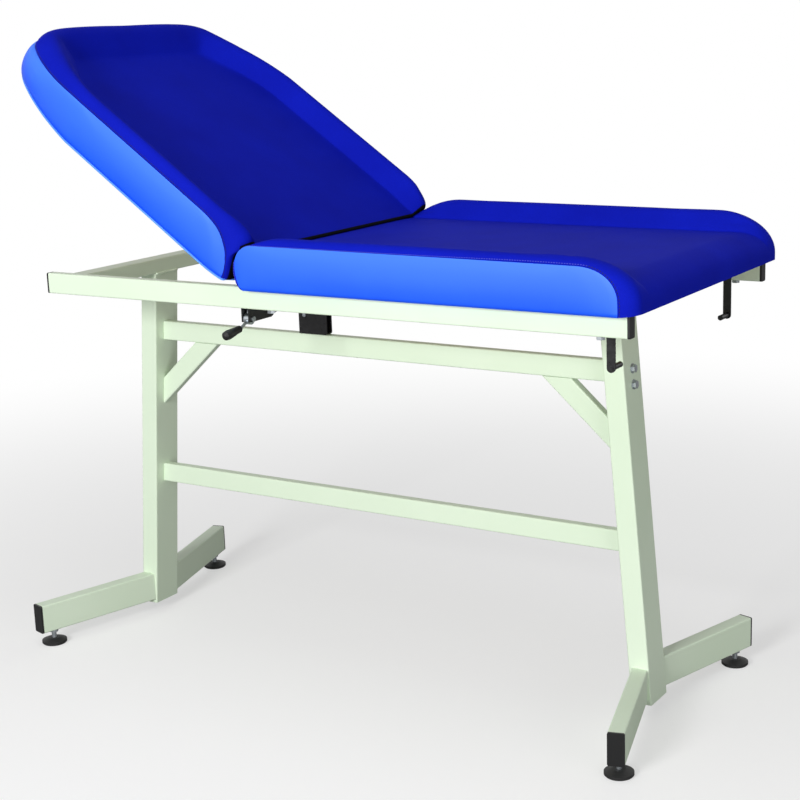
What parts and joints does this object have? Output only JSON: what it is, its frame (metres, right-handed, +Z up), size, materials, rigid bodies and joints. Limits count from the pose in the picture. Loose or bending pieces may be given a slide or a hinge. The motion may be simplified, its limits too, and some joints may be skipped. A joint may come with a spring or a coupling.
{
  "type": "pediatric examination couch",
  "caption": "Pediatric examination couch: padded seat with raised side rims, hinged backrest on a lockable gas strut, welded frame on two leaning posts with levelling feet.",
  "frame": {"origin": "on the floor at the centre of the couch's overall box", "axes": "+Z up, +X from the head end to the foot end, +Y away from the side of the release lever"},
  "size_m": [1.3854, 0.6806, 1.2711],
  "materials": {
    "cream_epoxy": "Cream-white baked epoxy powder coat, smooth satin",
    "black_plastic": "Black moulded plastic, fine matte",
    "black_rubber": "Black rubber-faced levelling foot",
    "zinc_steel": "Bright zinc-plated steel",
    "black_steel": "Black painted steel, semi-matte",
    "chromed_rod": "Hard-chromed piston rod",
    "blue_vinyl": "Royal blue upholstery vinyl, fine grain, satin",
    "plywood": "Birch plywood, plain"
  },
  "bodies": {
    "frame": {"rail_near": "cream_epoxy", "rail_cap_head_near": "black_plastic", "rail_cap_foot_near": "black_plastic", "rail_far": "cream_epoxy", "rail_cap_head_far": "black_plastic", "rail_cap_foot_far": "black_plastic", "head_crossbar": "cream_epoxy", "hinge_crossbar": "cream_epoxy", "foot_crossbar": "cream_epoxy", "post_head": "cream_epoxy", "post_foot": "cream_epoxy", "upper_stretcher": "cream_epoxy", "lower_stretcher": "cream_epoxy", "stretcher_end_plate": "cream_epoxy", "brace_head": "cream_epoxy", "brace_foot": "cream_epoxy", "post_bolt_upper": "zinc_steel", "post_bolt_lower": "zinc_steel", "board_bolt_foot_near": "zinc_steel", "board_bolt_foot_far": "zinc_steel", "board_bolt_hinge_near": "zinc_steel", "board_bolt_hinge_far": "zinc_steel", "leg_head_near": "cream_epoxy", "leg_cap_head_near": "black_plastic", "leg_head_far": "cream_epoxy", "leg_cap_head_far": "black_plastic", "leg_foot_near": "cream_epoxy", "leg_cap_foot_near": "black_plastic", "leg_foot_far": "cream_epoxy", "leg_cap_foot_far": "black_plastic", "seat_board": "plywood", "seat_pad": "blue_vinyl", "hinge_lug_near": "zinc_steel", "hinge_lug_far": "zinc_steel", "strut_mount": "black_steel", "strut_pin_lower": "zinc_steel", "lever_mount": "black_steel", "lever_pin": "zinc_steel", "lever_adjuster": "zinc_steel", "roll_strip_near": "black_steel", "roll_strip_far": "black_steel"},
    "backrest": {"back_board": "plywood", "back_pad": "blue_vinyl", "hinge_leaf_near": "zinc_steel", "hinge_leaf_far": "zinc_steel", "strut_bracket": "black_steel", "strut_pin_upper": "zinc_steel"},
    "strut_lower": {"strut_release_head": "black_steel", "strut_rod": "chromed_rod"},
    "strut_upper": {"strut_cylinder": "black_steel"},
    "release_lever": {"lever_arm": "zinc_steel", "lever_grip": "black_plastic"},
    "glide_head_near": {"glide_pad_head_near": "black_rubber", "glide_stem_head_near": "zinc_steel"},
    "glide_head_far": {"glide_pad_head_far": "black_rubber", "glide_stem_head_far": "zinc_steel"},
    "glide_foot_near": {"glide_pad_foot_near": "black_rubber", "glide_stem_foot_near": "zinc_steel"},
    "glide_foot_far": {"glide_pad_foot_far": "black_rubber", "glide_stem_foot_far": "zinc_steel"}
  },
  "joints": [
    {"name": "back_hinge", "type": "hinge", "parent": "frame", "child": "backrest", "pos_m": [-0.1055, 0.013, 0.787], "axis": [0, 1, 0], "range_deg": [-35, 0]},
    {"name": "strut_swing", "type": "hinge", "parent": "frame", "child": "strut_lower", "pos_m": [-0.166, 0.013, 0.693], "axis": [0, 1, 0], "range_deg": [-29, 0]},
    {"name": "strut_stroke", "type": "slide", "parent": "strut_lower", "child": "strut_upper", "axis": [-0.4456, 0, 0.8952], "range_m": [-0.0645, 0]},
    {"name": "lever_pull", "type": "hinge", "parent": "frame", "child": "release_lever", "pos_m": [-0.094, -0.267, 0.737], "axis": [-1, 0, 0], "range_deg": [0, 20], "stiffness_Nm_per_rad": 0.6, "springref_deg": -11.46},
    {"name": "level_head_near", "type": "slide", "parent": "frame", "child": "glide_head_near", "axis": [0, 0, -1], "range_m": [0, 0.012]},
    {"name": "level_head_far", "type": "slide", "parent": "frame", "child": "glide_head_far", "axis": [0, 0, -1], "range_m": [0, 0.012]},
    {"name": "level_foot_near", "type": "slide", "parent": "frame", "child": "glide_foot_near", "axis": [0, 0, -1], "range_m": [0, 0.012]},
    {"name": "level_foot_far", "type": "slide", "parent": "frame", "child": "glide_foot_far", "axis": [0, 0, -1], "range_m": [0, 0.012]}
  ],
  "couplings": [
    {"joint": "strut_swing", "follows": "back_hinge", "ratio": 0.815},
    {"joint": "strut_stroke", "follows": "back_hinge", "m_per_rad": 0.10485}
  ]
}
